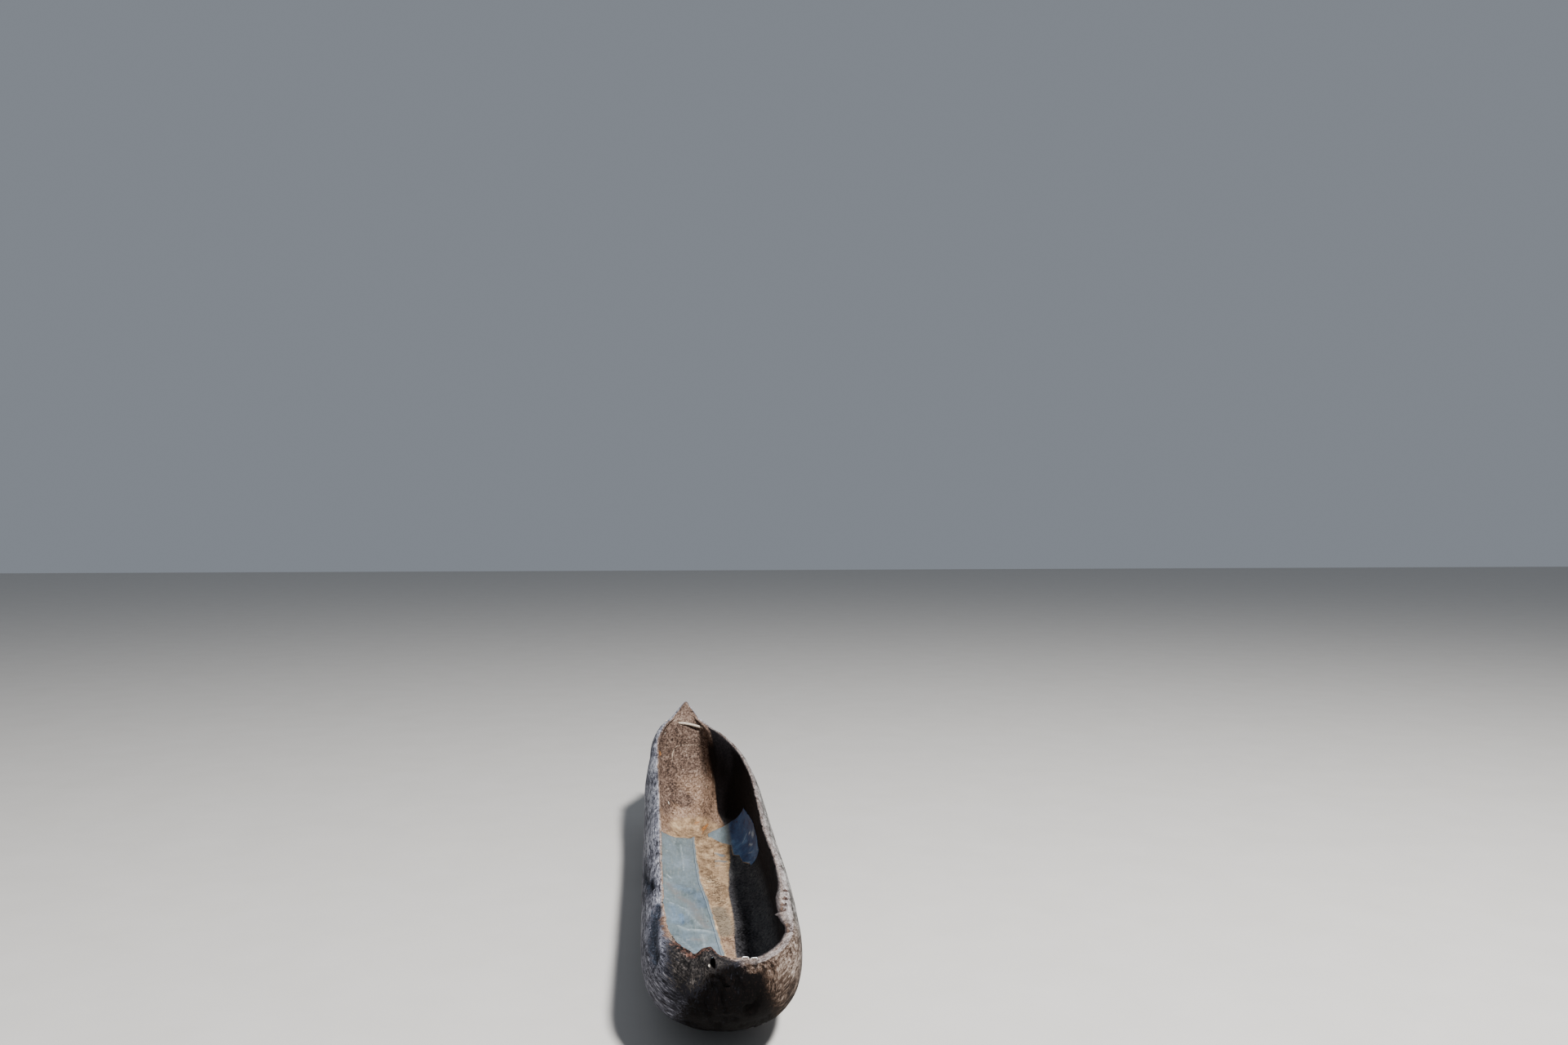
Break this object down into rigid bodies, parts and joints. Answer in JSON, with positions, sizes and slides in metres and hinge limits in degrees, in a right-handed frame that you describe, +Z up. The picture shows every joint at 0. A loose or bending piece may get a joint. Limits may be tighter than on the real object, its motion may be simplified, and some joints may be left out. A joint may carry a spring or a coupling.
{
  "type": "dugout canoe",
  "caption": "Narrow canoe hollowed from one crooked log, with a blunt undercut stern, a raised pointed bow, a cross peg for the mooring line and sheet-metal patches nailed inside.",
  "frame": {"origin": "middle of the bounding box in plan, on the ground under the worn flat of the bottom", "axes": "+Y towards the bow, +X to starboard, +Z up"},
  "size_m": [0.6218, 3.665, 0.706],
  "materials": {
    "weathered_log": "weathered silver-grey, dark and rotted under the stern, dusted with sand inside",
    "peeled_stick": "bare, sun-bleached",
    "sheet_metal": "dull grey-blue, creased and scuffed"
  },
  "bodies": {
    "root": {"hull": "weathered_log", "mooring_peg": "peeled_stick", "port_patch": "sheet_metal", "starboard_patch": "sheet_metal"}
  },
  "joints": []
}
